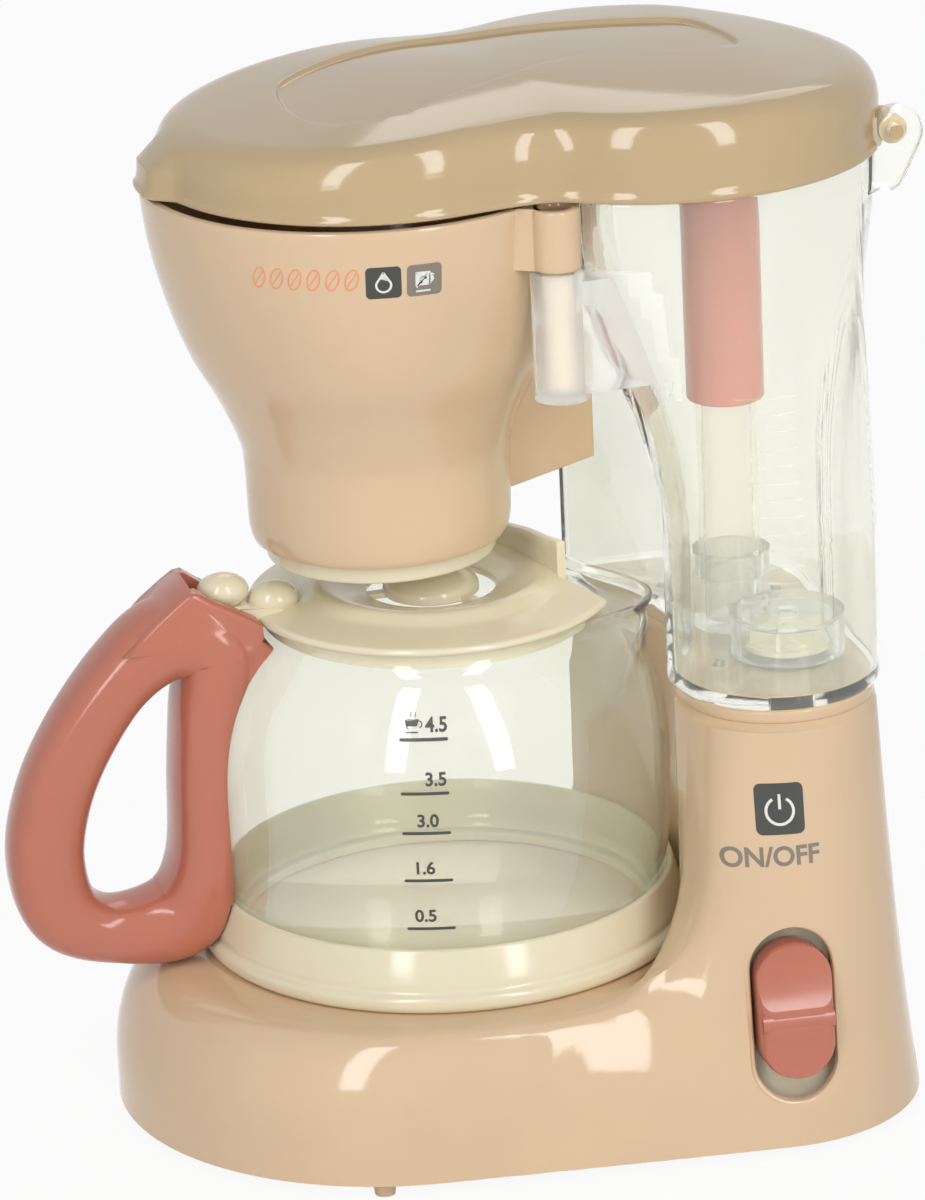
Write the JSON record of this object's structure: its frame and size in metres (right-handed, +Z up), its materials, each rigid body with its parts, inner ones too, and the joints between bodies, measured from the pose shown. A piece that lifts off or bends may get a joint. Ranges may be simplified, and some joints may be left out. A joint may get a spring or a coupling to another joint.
{
  "type": "toy coffee maker",
  "caption": "Toy drip coffee maker with a pillar base, clear water tank, tipping lid, swing-out filter basket, lift-out carafe with handle and a sliding switch.",
  "frame": {"origin": "middle of the bounding box in plan, at the bottom of the feet", "axes": "+Z up, front with the switch towards -Y, carafe and handle towards -X, lid hinge towards +X"},
  "size_m": [0.2004, 0.1331, 0.2298],
  "materials": {
    "beige_gloss": "glossy moulded ABS",
    "beige_under": "satin moulded ABS",
    "khaki_gloss": "glossy moulded ABS",
    "cream_gloss": "glossy moulded ABS",
    "terracotta_gloss": "glossy moulded ABS",
    "clear_plastic": "clear moulded polystyrene",
    "clear_tube": "clear tube",
    "black_plastic": "satin",
    "cell_wrap": "plain printed film over a steel can",
    "steel": "nickel plated",
    "rubber": "matt",
    "red_lead": "PVC insulation",
    "black_lead": "PVC insulation"
  },
  "bodies": {
    "base": {"base_housing": "beige_gloss", "bottom_plate": "beige_under", "base_screws": "steel", "battery_cover": "beige_under", "battery_cover_screw": "steel", "batteries": "cell_wrap", "battery_springs": "steel", "battery_contacts": "steel", "motor": "steel", "motor_mount": "beige_under", "motor_mount_screws": "steel", "shaft_seal": "rubber", "pump_cover": "clear_plastic", "tank_gasket": "rubber", "tank_screws": "steel", "water_tank": "clear_plastic", "riser_tube": "clear_tube", "riser_sleeve": "terracotta_gloss", "outlet_spout": "terracotta_gloss", "switch_plate": "cream_gloss", "switch_plate_screws": "steel", "switch_body": "black_plastic", "switch_to_motor_lead": "red_lead", "battery_to_switch_lead": "red_lead", "battery_to_motor_lead": "black_lead"},
    "rotor": {"motor_shaft": "steel", "impeller": "cream_gloss"},
    "lid": {"top_lid": "khaki_gloss"},
    "basket": {"filter_basket": "beige_gloss", "filter_cup": "cream_gloss", "drip_nozzle": "cream_gloss"},
    "carafe": {"carafe_body": "clear_plastic", "carafe_base_ring": "cream_gloss", "carafe_handle": "terracotta_gloss", "carafe_hinge_pin": "steel"},
    "carafe_lid": {"carafe_lid": "cream_gloss"},
    "switch": {"switch_slider": "terracotta_gloss"}
  },
  "joints": [
    {"name": "lid_hinge", "type": "hinge", "parent": "base", "child": "lid", "pos_m": [0.0943, 0, 0.2126], "axis": [0, 1, 0], "range_deg": [0, 95]},
    {"name": "basket_swing", "type": "hinge", "parent": "base", "child": "basket", "pos_m": [0.0168, -0.0339, 0.18], "axis": [0, 0, 1], "range_deg": [0, 90]},
    {"name": "carafe_slide", "type": "slide", "parent": "base", "child": "carafe", "axis": [-1, 0, 0], "range_m": [0, 0.16]},
    {"name": "carafe_lid_hinge", "type": "hinge", "parent": "carafe", "child": "carafe_lid", "pos_m": [-0.0535, 0.0075, 0.1139], "axis": [0, -1, 0], "range_deg": [0, 5]},
    {"name": "pump_spin", "type": "hinge", "parent": "base", "child": "rotor", "pos_m": [0.068, -0.021, 0.1], "axis": [0, 0, 1], "continuous": true},
    {"name": "switch_slide", "type": "slide", "parent": "base", "child": "switch", "axis": [0.0106, 0.1523, 0.9883], "range_m": [-0.0048, 0.0022]}
  ]
}
